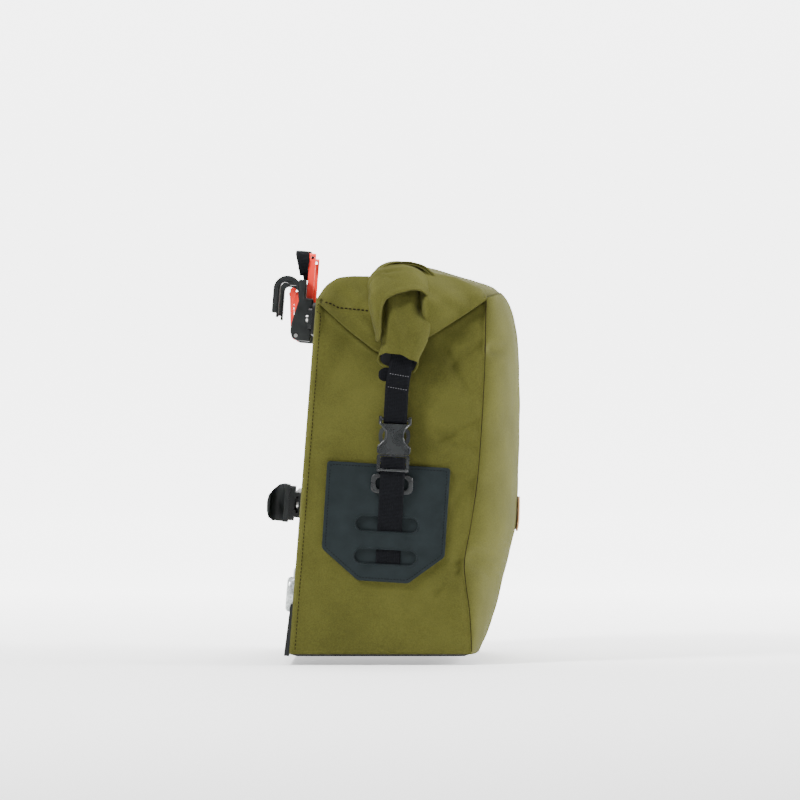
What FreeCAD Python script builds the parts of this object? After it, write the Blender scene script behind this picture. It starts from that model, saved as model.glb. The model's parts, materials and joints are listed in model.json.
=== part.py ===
"""Roll-top pannier bag: one STEP file per sub-part, in millimetres.

Frame: origin on the floor under the base, +Z up, +X towards the outer face,
-X towards the bicycle rack, -Y the left end and +Y the right end.
"""
import FreeCAD, Part
import math
import os
from FreeCAD import Vector

os.makedirs("parts", exist_ok=True)

# ---- driving dimensions -------------------------------------------------
HALF_W = 150.0          # half of the bag's width, to the side panels' outer faces
FABRIC = 2.5            # panel thickness: laminated shell, seam tape and lining together
GAP = 0.3               # clearance between separate sewn or clipped pieces
BASE_BACK, BASE_FRONT = -95.0, 88.0     # X of the base's two long edges
BODY_TOP = 366.0        # height of the side panels' top corners
BACK_FOOT = -97.0       # X of the back plane at floor level
BACK_LEAN = 4.4         # degrees that the back plane leans towards +X
FRONT_SEAM = [(88, 2), (90, 8), (88, 46), (84, 76), (83, 99),
              (90, 138), (97, 190), (103, 283), (105, BODY_TOP)]
# front panel's greatest bulge, at mid width, at the same heights
FRONT_BULGE = [(97, 2), (103, 12), (116, 44), (124, 74), (131, 100),
               (139, 131), (140, 190), (141.7, 280), (124, BODY_TOP + 6)]
ROLL_X, ROLL_Z = 22.0, 374.0            # centre of the rolled closure
ROLL_RX, ROLL_RZ = 34.0, 30.0           # its half width and half height
LABEL_Z = (125.0, 160.0)                # lower and upper edge of the label

HOOK_Y = 90.0           # distance of each top hook from mid width
HOOK_W = 24.0           # width of a top hook along the rack tube
TUBE_R = 5.1            # radius of the hook's seat, for a 10 mm rack tube
TUBE_X, TUBE_Z = -34.3, 377.0           # tube centre, in the back frame
ARCH_X, ARCH_Z, ARCH_R = -31.6, 374.5, 14.5
ARCH_WALL = 4.5
SLOT_W = 8.4            # slot along the hook's middle, where the latch swings
LATCH_W = 7.6
LATCH_PIVOT = (-19.5, 328.0)

LOWER_Z = 154.0         # height of the lower rail along the back
LOWER_Y = -40.0         # where the lower hook's carriage is parked
STRUT_R = 7.5           # radius of the lower hook's seat

STRAP_LEAN = 3.0        # degrees that the side strap leans towards +X
RING_X, RING_Z = 8.0, 175.0             # centre of the strap ring on the side panel
WEB_W = 25.0            # webbing width
WEB_T = 1.4             # webbing thickness


# ---- helpers -------------------------------------------------------------
def block(x0, x1, y0, y1, z0, z1):
    return Part.makeBox(x1 - x0, y1 - y0, z1 - z0, Vector(x0, y0, z0))


def prism_xz(points, y0, y1):
    """A polygon in the XZ plane, extruded from y0 to y1."""
    corners = [Vector(x, y0, z) for x, z in points]
    face = Part.Face(Part.makePolygon(corners + [corners[0]]))
    return face.extrude(Vector(0, y1 - y0, 0))


def rod_y(x, z, radius, y0, y1):
    return Part.makeCylinder(radius, y1 - y0, Vector(x, y0, z), Vector(0, 1, 0))


def rod_x(y, z, radius, x0, x1):
    return Part.makeCylinder(radius, x1 - x0, Vector(x0, y, z), Vector(1, 0, 0))


def rod_z(x, y, radius, z0, z1):
    return Part.makeCylinder(radius, z1 - z0, Vector(x, y, z0))


def rounded(x0, x1, y0, y1, z0, z1, radius, axis="y"):
    """A block whose four edges along one axis are rounded."""
    body = block(x0, x1, y0, y1, z0, z1)
    across = {"x": 0, "y": 1, "z": 2}[axis]
    edges = [e for e in body.Edges
             if abs(abs(list(e.tangentAt(e.FirstParameter))[across]) - 1) < 1e-6]
    return body.makeFillet(radius, edges)


def soften(body, radius):
    """Rounds every edge where the kernel manages it, and else leaves the body sharp."""
    try:
        made = body.makeFillet(radius, body.Edges)
    except Part.OCCError:
        return body
    sound = made.isValid() and made.Volume > 0.7 * body.Volume
    return made if sound else body


def in_back_frame(body):
    """Moves a body drawn against an upright back plane (x = 0) onto the leaning one."""
    out = body.copy()
    out.rotate(Vector(0, 0, 0), Vector(0, 1, 0), BACK_LEAN)
    out.translate(Vector(BACK_FOOT, 0, 0))
    return out


def on_side(body, side):
    """Moves a body drawn at the ring, with y outward, onto the left (-1) or right (+1)."""
    out = body.copy() if side > 0 else body.mirror(Vector(0, 0, 0), Vector(0, 1, 0))
    out.rotate(Vector(0, 0, 0), Vector(0, 1, 0), STRAP_LEAN)
    out.translate(Vector(RING_X, side * HALF_W, RING_Z))
    return out


def join(*bodies):
    out = bodies[0]
    for body in bodies[1:]:
        out = out.fuse(body)
    return out.removeSplitter()


def back_x(z):
    """X of the back panel's outer face at height z."""
    return BACK_FOOT + z * math.tan(math.radians(BACK_LEAN))


def save(node, *bodies):
    """Writes one node. Several bodies are separate solids of the same node."""
    solids = [s for b in bodies for s in b.Solids]
    for solid in solids:
        if not solid.isValid() or solid.Volume <= 0:
            print("BAD SOLID in", node, solid.Volume)
    shape = solids[0] if len(solids) == 1 else Part.makeCompound(solids)
    shape.exportStep(f"parts/{node}.step")


SIDES = {"left": -1, "right": 1}


# ---- sewn body -----------------------------------------------------------
def side_panel(side):
    inset = 0.4
    outline = [(back_x(4) + inset, 4), (FRONT_SEAM[0][0] - inset, 4)]
    outline += [(x - inset, z) for x, z in FRONT_SEAM[1:]]
    outline += [(back_x(BODY_TOP) + inset, BODY_TOP)]
    outer, inner = side * HALF_W, side * (HALF_W - FABRIC)
    return prism_xz(outline, min(outer, inner), max(outer, inner))


FRONT_REACH = HALF_W - FABRIC - GAP
BULGE_SHARES = ((-1, 0.0), (-0.86, 0.5), (-0.5, 0.86), (0, 1.0), (0.5, 0.86), (0.86, 0.5), (1, 0.0))


def front_line(share):
    """The outer panel's (x, z) line at a share of its full bulge."""
    return [(sx + (bx - sx) * share, sz + (bz - sz) * share)
            for (sx, sz), (bx, bz) in zip(FRONT_SEAM, FRONT_BULGE)]


def between(places, at):
    """Straight interpolation in a sorted list of (place, value)."""
    for (a, va), (b, vb) in zip(places, places[1:]):
        if a <= at <= b:
            return va + (vb - va) * (at - a) / (b - a)
    return places[-1][1]


def front_x(y, z):
    """X of the outer panel's outer face."""
    share = between(BULGE_SHARES, y / FRONT_REACH)
    return between([(pz, px) for px, pz in front_line(share)], z)


def front_panel():
    """Bulging outer panel: straight between its sections, thin in X."""
    sections = []
    for place, share in BULGE_SHARES:
        y = place * FRONT_REACH
        outer = front_line(share)
        inner = [(x - FABRIC, z) for x, z in reversed(outer)]
        corners = [Vector(x, y, z) for x, z in outer + inner]
        sections.append(Part.makePolygon(corners + [corners[0]]))
    return Part.makeLoft(sections, True, True)


def back_panel():
    top = BODY_TOP / math.cos(math.radians(BACK_LEAN))
    reach = HALF_W - FABRIC - GAP
    body = block(0, FABRIC, -reach, reach, 4.6, top)
    for y, z, _ in screw_places():
        body = body.cut(rod_x(y, z, 2.3, -1, 8))
    return in_back_frame(body)


def base_panel():
    reach = HALF_W - FABRIC - GAP
    return block(BASE_BACK, BASE_FRONT - FABRIC - GAP, -reach, reach, 0, 3.0)


def collar(points):
    """A sloping strip of the collar, as a thin prism between an outer and an inner line."""
    reach = HALF_W - 6
    return prism_xz(points, -reach, reach)


def sewn_body():
    for name, side in SIDES.items():
        save(f"side_panel_{name}", side_panel(side))
    save("front_panel", front_panel())
    save("back_panel", back_panel())
    save("base_panel", base_panel())
    save("collar_back", collar([
        (back_x(BODY_TOP) + 0.2, BODY_TOP + 0.6), (-58, 383), (-40, 388), (-15, 388),
        (-15, 385), (-40, 385), (-56, 380), (back_x(BODY_TOP) + 3.4, BODY_TOP + 0.6)]))
    save("collar_front", collar([
        (105.2, BODY_TOP + 7), (96, 385), (62, 397), (30, 407.6),
        (30, 404.4), (61, 393), (94, 381.5), (101.2, BODY_TOP + 7)]))
    for name, side in SIDES.items():
        y0, y1 = side * (HALF_W - 0.2), side * (HALF_W - 5.4)
        save(f"gusset_{name}", prism_xz(
            [(-58, BODY_TOP + 1), (100, BODY_TOP + 1), (62, 391), (58, 388), (-14, 383), (-46, 383)],
            min(y0, y1), max(y0, y1)))


# ---- roll closure --------------------------------------------------------
def roll_core(y0, y1, rx, rz):
    ellipse = Part.Ellipse(Vector(ROLL_X, y0, ROLL_Z), rx, rz)
    ellipse.Axis = Vector(0, 1, 0)
    face = Part.Face(Part.Wire(ellipse.toShape()))
    return face.extrude(Vector(0, y1 - y0, 0))


def roll():
    """Rolled collar along the top, resting between the two collar strips."""
    reach = HALF_W - 6
    body = roll_core(-reach, reach, ROLL_RX, ROLL_RZ)
    strip = block(ROLL_X - 14.3, ROLL_X + 14.3, -reach - 1, reach + 1, ROLL_Z - 1.3, ROLL_Z + 1.3)
    keep = prism_xz([(-14, 340), (-14, 420), (30, 404), (61, 392.6), (75, 380), (75, 340)],
                    -reach - 1, reach + 1)
    return body.common(keep).cut(strip)


def roll_stiffener():
    """Stiff strip sewn in the mouth, at the core of the roll."""
    reach = HALF_W - 6
    return block(ROLL_X - 14, ROLL_X + 14, -reach, reach, ROLL_Z - 1, ROLL_Z + 1)


def roll_end(side):
    """End of the roll, folded down over the side panel as an open sleeve."""
    outer = rounded(-8, 44, 0.6, 22, 301, 371, 8, "z")
    cap = prism_xz([(-12, 340), (-8, 325), (44, 325), (54, 345),
                    (56, 371), (30, 396), (4, 392), (-12, 375)], 0.6, 22)
    body = join(outer, cap)
    hollow = rounded(-5.5, 41.5, 2.6, 19.5, 300, 352, 6, "z")
    body = body.cut(hollow)
    out = body if side > 0 else body.mirror(Vector(0, 0, 0), Vector(0, 1, 0))
    out.translate(Vector(0, side * HALF_W, 0))
    return out


def closure():
    save("roll", roll())
    save("roll_stiffener", roll_stiffener())
    for name, side in SIDES.items():
        save(f"roll_end_{name}", roll_end(side))


# ---- inner stiffeners ----------------------------------------------------
def stiffeners():
    back = in_back_frame(rounded(FABRIC + 0.2, FABRIC + 3.2, -132, 132, 14, 352, 12, "x"))
    for y, z, _ in screw_places():
        back = back.cut(in_back_frame(rod_x(y, z, 2.3, -1, 8)))
    save("back_stiffener", back)
    save("base_stiffener", rounded(-82, 80, -138, 138, 3.2, 5.7, 10, "z"))


# ---- rack-side hardware, drawn in the back frame -------------------------
TOP_RAIL = (330.0, 362.0)               # lower and upper edge of the top rail
FLANGE_T = 3.6                          # thickness of the housing's two fixing ears
SCREW_OFF = 17.0                        # distance of the fixing screws from the hook's middle
SCREW_Z = 346.0
RAIL_T = 4.0
HOUSING_BACK = -(RAIL_T + GAP)


def top_rail():
    body = rounded(-RAIL_T, -0.2, -125, 125, TOP_RAIL[0], TOP_RAIL[1], 6, "x")
    for y, z, _ in screw_places():
        body = body.cut(rod_x(y, z, 2.3, -6, 1))
    return body


def hook_outline():
    """Housing and stem as one moulded side profile."""
    return [(HOUSING_BACK, 323), (HOUSING_BACK, 367), (-12.5, 367), (-12.5, 386), (-20.6, 386),
            (-20.6, 372), (-19.2, 364), (-25.0, 340), (-25.6, 332), (-23.6, 326), (-19, 323)]


def hook_housing(y):
    """Moulded housing: closed cheeks, a slot for the latch and a channel for the pull plate."""
    half = HOOK_W / 2
    body = soften(prism_xz(hook_outline(), y - half, y + half), 1.2)
    slot = prism_xz([(-40, 318), (-40, 392), (-16, 392), (-16, 337), (-14.4, 335), (-14.4, 318)],
                    y - SLOT_W / 2, y + SLOT_W / 2)
    channel = block(-12.2, 0, y - 6.4, y + 6.4, 334, 400)
    body = body.cut(slot).cut(channel)
    body = body.cut(rod_y(*LATCH_PIVOT, 2.0, y - half - 1, y + half + 1))
    for sign in (-1, 1):
        ear_y = y + sign * SCREW_OFF
        ear = rounded(HOUSING_BACK - FLANGE_T, HOUSING_BACK, ear_y - 7, ear_y + 7, 336, 357, 4, "x")
        body = join(body, ear.cut(rod_x(ear_y, SCREW_Z, 2.3, -15, 0)))
    return body


def hook_claw(y):
    """J-shaped claw over the rack tube, keyed to both cheeks of the stem."""
    half = HOOK_W / 2
    ring = rod_y(ARCH_X, ARCH_Z, ARCH_R, y - half, y + half)
    ring = ring.cut(rod_y(ARCH_X, ARCH_Z, ARCH_R - ARCH_WALL, y - half - 1, y + half + 1))
    ring = ring.common(block(-60, -18.0, y - half, y + half, ARCH_Z, 400))
    leg_left = ARCH_X - ARCH_R
    leg = rounded(leg_left, leg_left + ARCH_WALL, y - half, y + half, 350, ARCH_Z + 0.01, 0.9, "y")
    claw = join(ring, leg)
    claw = claw.cut(prism_xz(hook_outline(), y - half - 1, y + half + 1))
    return claw.cut(block(-24.2, -5, y - SLOT_W / 2, y + SLOT_W / 2, 336, 381.4))


def hook_insert(y):
    """Reducing insert clipped inside the claw, which sets the seat for the rack tube."""
    half = HOOK_W / 2 - 1.5
    inner = ARCH_R - ARCH_WALL - 0.05
    plug = rod_y(ARCH_X, ARCH_Z, inner, y - half, y + half)
    plug = plug.common(block(-60, -23.2, y - half, y + half, ARCH_Z, 400))
    left = ARCH_X - inner
    plug = join(plug, block(left, left + 4.4, y - half, y + half, 345.6, ARCH_Z + 0.01))
    plug = plug.cut(rod_y(TUBE_X, TUBE_Z, TUBE_R, y - 20, y + 20))
    plug = plug.cut(block(TUBE_X - TUBE_R, 0, y - 20, y + 20, 340, TUBE_Z))
    latch_room = block(TUBE_X + TUBE_R, -5, y - 20, y + 20, 336, 379.6)
    return plug.cut(latch_room)


def latch(y):
    """Sprung locking lever that narrows the hook's mouth under the tube."""
    half = LATCH_W / 2
    px, pz = LATCH_PIVOT
    seat = TUBE_X + TUBE_R
    outline = [(px - 4.4, pz - 2), (px - 6.6, pz + 12), (seat + 0.3, 368), (seat - 0.9, 370.6),
               (seat + 0.4, 373), (seat + 0.4, 376), (-26, 377.6), (-22.6, 376), (-24.0, 367),
               (-23.0, 342), (px + 3.4, pz + 3), (px + 3.4, pz - 2), (px, pz - 4)]
    body = prism_xz(outline, y - half, y + half)
    for z in (356, 360, 364):
        body = body.cut(rod_y(-23.2, z, 1.1, y - half - 1, y + half + 1))
    body = join(body, rod_y(px, pz, 4.6, y - half, y + half))
    return body.cut(rod_y(px, pz, 2.03, y - half - 1, y + half + 1))


def latch_pin(y):
    half = HOOK_W / 2
    return rod_y(*LATCH_PIVOT, 1.98, y - half + 0.2, y + half - 0.2)


def latch_spring(y):
    """Coil spring that pushes the latch outwards, drawn at its mounted length."""
    pitch, height, radius, wire = 1.9, 5.7, 1.5, 0.35
    helix = Part.makeHelix(pitch, height, radius)
    profile = Part.Wire(Part.makeCircle(wire, Vector(radius, 0, 0), Vector(0, 1, 0)))
    coil = Part.Wire(helix).makePipeShell([profile], True, True)
    coil.rotate(Vector(0, 0, 0), Vector(0, 1, 0), 90)
    coil.translate(Vector(-22.3, y, 350))
    return coil


def pull_plate(y):
    """Plate that slides up in the housing when the handle is pulled."""
    plate = rounded(-11.6, -4.9, y - 6, y + 6, 336, 414, 3, "x")
    boss = rod_x(y, 401, 4.2, -20.6, -11.0)
    plate = join(plate, boss)
    return plate.cut(rod_y(-8.2, 409.6, 1.7, y - 7, y + 7)).cut(rod_x(y, 401, 2.05, -30, 0))


def handle_pin(y):
    head = Part.makeCylinder(4.4, 1.5, Vector(-22.4, y, 401), Vector(1, 0, 0))
    return join(head, rod_x(y, 401, 2.0, -22.0, -5.4))


def handle():
    """Carrying webbing from one pull plate to the other, arched above the hooks."""
    top, thick, lug = 416.6, 2.4, 7.5
    half = [(0, top), (HOOK_Y - 16, top), (HOOK_Y - 5, 413.6), (HOOK_Y + lug - 1, 410),
            (HOOK_Y + lug, 394), (HOOK_Y - lug, 394), (HOOK_Y - lug, 405), (HOOK_Y - 8.6, 410),
            (HOOK_Y - 17, top - thick), (0, top - thick)]
    mirrored = [(-y, z) for y, z in reversed(half[1:-1])]
    corners = [Vector(-20.8, y, z) for y, z in half + mirrored]
    body = Part.Face(Part.makePolygon(corners + [corners[0]])).extrude(Vector(8.8, 0, 0))
    for y in (-HOOK_Y, HOOK_Y):
        body = body.cut(rod_x(y, 401, 4.35, -30, 0))
    return body


def screw_places():
    """(y, z, x under the head) of each screw through the back."""
    head_x = HOUSING_BACK - FLANGE_T - 0.05
    hooks = [(s * HOOK_Y + t * SCREW_OFF, SCREW_Z, head_x) for s in (-1, 1) for t in (-1, 1)]
    return hooks + [(s * 100, LOWER_Z, -3.05) for s in (-1, 1)]


def rail_screw(y, z, head_x):
    """Pan-head screw through the rail and the stiffener into a nut inside the bag."""
    head = Part.makeCylinder(4.0, 2.2, Vector(head_x - 2.2, y, z), Vector(1, 0, 0))
    driver = block(head_x - 3, head_x - 1.2, y - 0.6, y + 0.6, z - 2.2, z + 2.2)
    driver = join(driver, block(head_x - 3, head_x - 1.2, y - 2.2, y + 2.2, z - 0.6, z + 0.6))
    return join(head, rod_x(y, z, 2.0, head_x - 0.1, 10.2)).cut(driver)


def rail_nut(y, z):
    corners = [Vector(6.0, y + 4.2 * math.cos(math.radians(60 * i)),
                      z + 4.2 * math.sin(math.radians(60 * i))) for i in range(6)]
    nut = Part.Face(Part.makePolygon(corners + [corners[0]])).extrude(Vector(3.2, 0, 0))
    return nut.cut(rod_x(y, z, 2.05, 0, 20))


def lower_rail():
    """Slotted rail for the lower hook, with a stop at each end."""
    z0, z1 = LOWER_Z - 13, LOWER_Z + 13
    body = rounded(-3.0, -0.2, -115, 115, z0, z1, 4, "x")
    for z in (z0 + 2.2, z1 - 2.2):
        body = join(body, block(-8.0, -2.9, -104, 104, z - 2.2, z + 2.2))
        lip = -1 if z > LOWER_Z else 1
        body = join(body, block(-8.0, -6.0, -104, 104, min(z, z + lip * 4.4), max(z, z + lip * 4.4)))
    for y, z, _ in screw_places():
        body = body.cut(rod_x(y, z, 2.3, -9, 1))
    return body


def lower_carriage():
    """Block that slides in the lower rail and carries the swivelling claw."""
    y, z = LOWER_Y, LOWER_Z
    foot = block(-5.6, -3.4, y - 16, y + 16, z - 8.2, z + 8.2)
    neck = block(-9.2, -5.5, y - 15, y + 15, z - 6.0, z + 6.0)
    face = rounded(-14.0, -8.4, y - 17, y + 17, z - 18, z + 18, 6, "x")
    body = join(foot, neck, face)
    return body.cut(rod_x(y, z, 3.05, -20, 0))


def swivel_bolt():
    y, z = LOWER_Y, LOWER_Z
    head = Part.makeCylinder(5.2, 1.6, Vector(-18.6, y, z), Vector(1, 0, 0))
    head = head.cut(block(-19, -17.8, y - 3.6, y + 3.6, z - 0.6, z + 0.6))
    return join(head, rod_x(y, z, 3.0, -17.1, -3.6))


def lower_claw():
    """C-shaped claw, open to one end of the bag, that hooks behind a rack strut."""
    y, z = LOWER_Y, LOWER_Z
    strut_x = -26.8
    wall = 3.6
    reach = STRUT_R + wall
    outer = rod_z(strut_x, y + 3, reach, z - 20, z + 20)
    outer = join(outer, block(strut_x - reach, strut_x + reach, y - 13, y + 3, z - 20, z + 20))
    plate = block(-18.0, -14.3, y - 13, y + 14, z - 20, z + 20)
    body = join(outer, plate)
    body = body.cut(rod_z(strut_x, y + 3, STRUT_R, z - 21, z + 21))
    body = body.cut(block(strut_x - STRUT_R, strut_x + STRUT_R, y - 14, y + 3, z - 21, z + 21))
    profile = [(-14.2, z + 19), (-20, z + 20), (-26, z + 18.5), (-32, z + 13), (-36, z + 7),
               (-37.4, z), (-36.8, z - 10), (-34.4, z - 17), (-31, z - 20), (-14.2, z - 20)]
    body = body.common(prism_xz(profile, y - 20, y + 20))
    body = body.cut(rod_x(y, z, 5.5, -19.8, -16.9))
    return body.cut(rod_x(y, z, 3.05, -30, -10))


REFLECTOR_Y = 133.0
REFLECTOR_Z = 63.0
REFLECTOR_T = 7.6


def oval(y, half_y, half_z, depth):
    """An upright oval disc against the back plane."""
    ellipse = Part.Ellipse(Vector(-0.3, y, REFLECTOR_Z), half_z, half_y)
    ellipse.Axis = Vector(-1, 0, 0)
    disc = Part.Face(Part.Wire(ellipse.toShape())).extrude(Vector(-depth, 0, 0))
    if disc.BoundBox.YLength > disc.BoundBox.ZLength:
        disc.rotate(Vector(0, y, REFLECTOR_Z), Vector(1, 0, 0), 90)
    return disc


def heel_guard():
    """Moulded wear strip along the lower back edge, notched round the reflectors."""
    body = prism_xz([(-0.3, 0.4), (-5.4, 0.4), (-2.8, 53), (-0.3, 54)], -146, 146)
    for y in (-REFLECTOR_Y, REFLECTOR_Y):
        body = body.cut(oval(y, 11.5, 18.5, 9))
    return in_back_frame(body)


def reflector(y):
    """Plain oval reflector with a rounded rim."""
    disc = oval(y, 11, 18, REFLECTOR_T)
    rim = [e for e in disc.Edges if e.BoundBox.XMax < -REFLECTOR_T]
    return disc.makeFillet(4.0, rim)


def rack_side():
    save("top_rail", in_back_frame(top_rail()))
    for name, side in SIDES.items():
        y = side * HOOK_Y
        save(f"hook_housing_{name}", in_back_frame(hook_housing(y)))
        save(f"hook_claw_{name}", in_back_frame(hook_claw(y)))
        save(f"hook_insert_{name}", in_back_frame(hook_insert(y)))
        save(f"latch_{name}", in_back_frame(latch(y)))
        save(f"latch_spring_{name}", in_back_frame(latch_spring(y)))
        save(f"pull_plate_{name}", in_back_frame(pull_plate(y)))
    save("latch_pins", *[in_back_frame(latch_pin(s * HOOK_Y)) for s in SIDES.values()])
    save("handle", in_back_frame(handle()))
    save("handle_pins", *[in_back_frame(handle_pin(s * HOOK_Y)) for s in SIDES.values()])
    save("rail_screws", *[in_back_frame(rail_screw(*place)) for place in screw_places()])
    save("rail_nuts", *[in_back_frame(rail_nut(y, z)) for y, z, _ in screw_places()])
    save("lower_rail", in_back_frame(lower_rail()))
    save("lower_carriage", in_back_frame(lower_carriage()))
    save("swivel_bolt", in_back_frame(swivel_bolt()))
    save("lower_claw", in_back_frame(lower_claw()))
    save("heel_guard", heel_guard())
    save("reflectors", *[in_back_frame(reflector(s * REFLECTOR_Y)) for s in SIDES.values()])


# ---- side straps, drawn at the ring with y outward -----------------------
STRAP_Y = 9.0           # middle of the buckle and of the upper strap


def patch_outline():
    return [(-66.5, 21), (58.2, 20), (57, -70), (21.4, -98.6), (-29.6, -98), (-67.5, -67.5)]


def stadium(x0, x1, z0, z1, y0, y1):
    """A slot shape with round ends along X."""
    r = (z1 - z0) / 2
    middle = block(x0 + r, x1 - r, y0, y1, z0, z1)
    return join(middle, rod_y(x0 + r, z0 + r, r, y0, y1), rod_y(x1 - r, z0 + r, r, y0, y1))


def patch_backing():
    return prism_xz(patch_outline(), 0.2, 1.0)


def side_patch():
    """Slotted cover: sewn at its rim, raised in the middle where the webbing passes."""
    body = prism_xz(patch_outline(), 1.1, 4.2)
    room = prism_xz([(-40, -20), (36, -20), (36, -92), (-36, -92)], 1.0, 3.0)
    body = body.cut(room)
    for z0, z1 in ((-47.7, -32.2), (-81, -65.5)):
        body = body.cut(stadium(-35, 29, z0, z1, 0, 6))
    return body


def strap_ring():
    """Moulded loop that the strap turns round."""
    outer = rounded(-21.4, 21.4, 5.6, 8.6, -8.6, 11.4, 6, "y")
    inner = rounded(-16.6, 16.6, 5, 9, -4.4, 7.2, 4, "y")
    return soften(outer.cut(inner), 0.8)


def webbing(points, width=WEB_W, thick=WEB_T):
    """A flat strap of constant thickness along a path of (y, z) points."""
    left, right = [], []
    for i, (y, z) in enumerate(points):
        a = points[max(i - 1, 0)]
        b = points[min(i + 1, len(points) - 1)]
        run, rise = b[0] - a[0], b[1] - a[1]
        size = math.hypot(run, rise)
        ny, nz = -rise / size * thick / 2, run / size * thick / 2
        left.append(Vector(-width / 2, y + ny, z + nz))
        right.append(Vector(-width / 2, y - ny, z - nz))
    loop = left + right[::-1]
    return Part.Face(Part.makePolygon(loop + [loop[0]])).extrude(Vector(width, 0, 0))


def anchor_webbing():
    """From the ring down over the cover, through the upper slot and behind the bridge."""
    return webbing([(9.9, -4.2), (9.5, -9.4), (7.2, -13), (5.6, -20), (5.4, -33), (2.1, -46),
                    (2.1, -60), (2.1, -76)], thick=1.2)


def strap_lower():
    """Adjustable strap between the buckle's bars and the ring."""
    return webbing([(12.0, 27.6), (11.8, 21), (11.4, 12), (10.0, 2), (9.9, -3.4)], thick=1.2)


def strap_upper():
    """Upper strap, sewn in the roll's end, with its loop round the buckle's bar."""
    body = webbing([(STRAP_Y - 2.6, 65.4), (STRAP_Y - 3.3, 70), (STRAP_Y - 1.0, 80), (STRAP_Y, 84),
                    (STRAP_Y, 140)], width=WEB_W - 1)
    front = webbing([(STRAP_Y + 2.6, 65.4), (STRAP_Y + 3.3, 70), (STRAP_Y + 1.0, 80), (STRAP_Y + 0.2, 84),
                     (STRAP_Y + 0.2, 98)], width=WEB_W - 1)
    foot = webbing([(STRAP_Y - 3.2, 65.2), (STRAP_Y - 1, 63.9), (STRAP_Y + 1, 63.9), (STRAP_Y + 3.2, 65.2)],
                   width=WEB_W - 1)
    return join(body, front, foot)


def buckle_female():
    """Socket half: two waisted faces, a throat at the bottom and a strap bar at the top."""
    lo, hi = STRAP_Y - 5, STRAP_Y + 5
    body = rounded(-16.6, 16.6, lo, hi, 31.6, 62.6, 2.0, "y")
    for sign in (-1, 1):
        body = body.cut(rod_y(sign * 22.4, 51.2, 12.6, lo - 1, hi + 1))
    body = soften(body, 0.7)
    cavity = block(-13.3, 13.3, STRAP_Y - 3.1, STRAP_Y + 3.1, 31, 41.4)
    upper = block(-20, 20, STRAP_Y - 3.1, STRAP_Y + 3.1, 41.3, 60.2)
    body = body.cut(cavity).cut(upper)
    for sign in (-1, 1):
        arm = rounded(min(sign * 13.4, sign * 16.6), max(sign * 13.4, sign * 16.6),
                      STRAP_Y - 2.6, STRAP_Y + 2.6, 61.6, 70.2, 1.2, "x")
        body = join(body, arm)
    return join(body, rod_x(STRAP_Y, 67.2, 1.7, -14, 14))


def buckle_male():
    """Plug half: ladder frame for the strap and a central guide tongue."""
    lo, hi = STRAP_Y - 4.2, STRAP_Y + 3.2
    frame = rounded(-16.6, 16.6, lo, hi, 13.2, 31.2, 2.0, "y")
    frame = frame.cut(block(-13.2, 13.2, lo - 1, hi + 1, 17.6, 40))
    frame = frame.cut(block(-12.8, 12.8, STRAP_Y + 1.6, hi + 1, 12, 19))
    bar = block(-13.3, 13.3, STRAP_Y - 2.2, STRAP_Y + 2.0, 23.2, 27.6)
    tongue = block(-2.4, 2.4, STRAP_Y - 1.6, STRAP_Y + 1.6, 27.5, 57)
    shelf = block(-13.3, 13.3, STRAP_Y - 2.6, STRAP_Y + 2.6, 29.2, 31.2)
    body = join(frame, bar, tongue, shelf)
    return body


def buckle_prong(sign):
    """Sprung side arm of the plug: a flexible root and a bowed head behind the throat."""
    outline = [(8.4, 31.7), (10.9, 31.7), (11.6, 38), (12.2, 41.9), (14.2, 42.4), (15.7, 46), (16.1, 51),
               (15.2, 56), (12.4, 59), (8.4, 59.4), (7.4, 57), (11, 55), (12.4, 51), (11.6, 46), (9.6, 41)]
    points = [(sign * x, z) for x, z in outline]
    return prism_xz(points, STRAP_Y - 2.7, STRAP_Y + 2.7)


def side_straps():
    backings = []
    for name, side in SIDES.items():
        backings.append(on_side(patch_backing(), side))
        save(f"side_patch_{name}", on_side(side_patch(), side))
        save(f"strap_ring_{name}", on_side(strap_ring(), side))
        save(f"anchor_webbing_{name}", on_side(anchor_webbing(), side))
        save(f"strap_lower_{name}", on_side(strap_lower(), side))
        save(f"strap_upper_{name}", on_side(strap_upper(), side))
        save(f"buckle_female_{name}", on_side(buckle_female(), side))
        save(f"buckle_male_{name}", on_side(buckle_male(), side))
        for end, sign in (("back", -1), ("front", 1)):
            save(f"buckle_prong_{end}_{name}", on_side(buckle_prong(sign), side))
    save("patch_backings", *backings)


def label_patch():
    """Plain leather label that follows the bulge of the outer panel."""
    sections = []
    heights = [LABEL_Z[0] + (LABEL_Z[1] - LABEL_Z[0]) * i / 6 for i in range(7)]
    for y in (-34, 0, 34):
        near = [Vector(front_x(y, z) + 0.5, y, z) for z in heights]
        far = [Vector(front_x(y, z) + 2.2, y, z) for z in reversed(heights)]
        corners = near + far
        sections.append(Part.makePolygon(corners + [corners[0]]))
    return Part.makeLoft(sections, True, True)


sewn_body()
closure()
stiffeners()
rack_side()
side_straps()
save("label_patch", label_patch())
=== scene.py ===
import bpy
import json
import math
import numpy as np
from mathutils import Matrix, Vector, noise


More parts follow.
